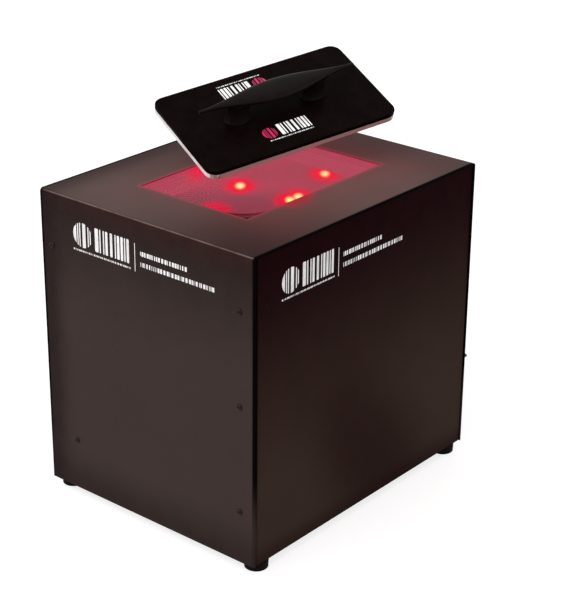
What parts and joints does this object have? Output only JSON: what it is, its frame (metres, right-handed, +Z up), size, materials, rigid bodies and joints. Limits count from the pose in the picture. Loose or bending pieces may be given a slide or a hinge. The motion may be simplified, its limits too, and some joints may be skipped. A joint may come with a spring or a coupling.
{
  "type": "barcode verifier",
  "caption": "Desktop barcode verifier: black sheet-metal case with a flush red-lit scanning window on top, a camera inside, a toggle switch, and a press plate with a leaf-shaped grip.",
  "frame": {"origin": "centre of the whole outline, level with the underside of the rubber feet", "axes": "+X to the right along the front panel, +Y to the back, +Z up; the rest pose has the press plate lifted and tilted as pictured"},
  "size_m": [0.3031, 0.2303, 0.3471],
  "materials": {
    "satin_black_paint": "satin black paint on folded steel sheet",
    "panel_black_paint": "satin black paint, a little darker than the cover",
    "blackened_screw": "blackened steel",
    "black_rubber": "matt black rubber",
    "window_glass": "clear polished glass",
    "gasket_foam": "closed-cell foam rubber",
    "black_plastic": "moulded black plastic",
    "light_box_plastic": "matt tray that looks red under its lamps",
    "board_green": "green solder mask on a glass-fibre board",
    "lamp_red": "clear red lamp body",
    "camera_aluminium": "grey anodised",
    "heatsink_aluminium": "plain extruded",
    "lens_black": "black anodised",
    "brass": "turned",
    "lens_glass": "coated lens glass",
    "zinc_steel": "bright plated steel",
    "cable_black": "black cable jacket",
    "cable_grey": "grey cable jacket",
    "plate_laminate": "satin black laminate",
    "pad_white": "matt white underside",
    "grip_plastic": "smooth moulded black plastic"
  },
  "bodies": {
    "case": {"cover_shell": "satin_black_paint", "chassis": "panel_black_paint", "cover_screw_left_1": "blackened_screw", "cover_screw_left_2": "blackened_screw", "cover_screw_left_3": "blackened_screw", "cover_screw_left_4": "blackened_screw", "cover_screw_left_5": "blackened_screw", "cover_screw_right_1": "blackened_screw", "cover_screw_right_2": "blackened_screw", "cover_screw_right_3": "blackened_screw", "cover_screw_right_4": "blackened_screw", "cover_screw_right_5": "blackened_screw", "foot_front_left": "black_rubber", "foot_front_right": "black_rubber", "foot_rear_left": "black_rubber", "foot_rear_right": "black_rubber", "window_glass": "window_glass", "window_gasket": "gasket_foam", "window_frame": "black_plastic", "light_box": "light_box_plastic", "lamp_board_left": "board_green", "lamp_board_right": "board_green", "lamp_board_front": "board_green", "lamp_board_rear": "board_green", "lamp_light_left_1": "lamp_red", "lamp_light_right_1": "lamp_red", "lamp_light_front_1": "lamp_red", "lamp_light_front_2": "lamp_red", "lamp_light_rear_1": "lamp_red", "camera_body": "camera_aluminium", "camera_bracket": "panel_black_paint", "lens_barrel": "lens_black", "lens_nose_ring": "lens_black", "lens_element": "lens_glass", "control_board": "board_green", "driver_board": "board_green", "driver_heatsink": "heatsink_aluminium", "usb_socket": "zinc_steel", "power_socket": "black_plastic", "power_socket_nut": "zinc_steel", "switch_body": "black_plastic", "switch_nut": "zinc_steel", "lamp_cable": "cable_black", "camera_cable": "cable_black", "usb_cable": "cable_grey", "power_cable": "cable_black", "switch_cable": "cable_black", "lamp_plug": "black_plastic", "camera_plug": "black_plastic"},
    "press_plate": {"press_plate": "plate_laminate", "press_pad": "pad_white", "plate_grip": "grip_plastic", "grip_screw_left": "zinc_steel", "grip_screw_right": "zinc_steel"},
    "switch_lever": {"switch_lever": "zinc_steel"},
    "iris_ring": {"iris_ring": "lens_black", "iris_lock_screw": "brass"},
    "focus_ring": {"focus_ring": "lens_black", "focus_lock_screw": "brass"}
  },
  "joints": [
    {"name": "plate_lift", "type": "hinge", "parent": "case", "child": "press_plate", "pos_m": [-0.03095, -0.0702, 0.3802], "axis": [0.6939, -0.389, -0.6059], "range_deg": [-28.8, 0]},
    {"name": "switch_throw", "type": "hinge", "parent": "case", "child": "switch_lever", "pos_m": [0.13715, -0.1038, 0.086], "axis": [0, -1, 0], "range_deg": [0, 24]},
    {"name": "iris_turn", "type": "hinge", "parent": "case", "child": "iris_ring", "pos_m": [-0.00815, 0, 0.1149], "axis": [0, 0, 1], "range_deg": [-90, 0]},
    {"name": "focus_turn", "type": "hinge", "parent": "case", "child": "focus_ring", "pos_m": [-0.00815, 0, 0.1302], "axis": [0, 0, 1], "range_deg": [-30, 120]}
  ]
}
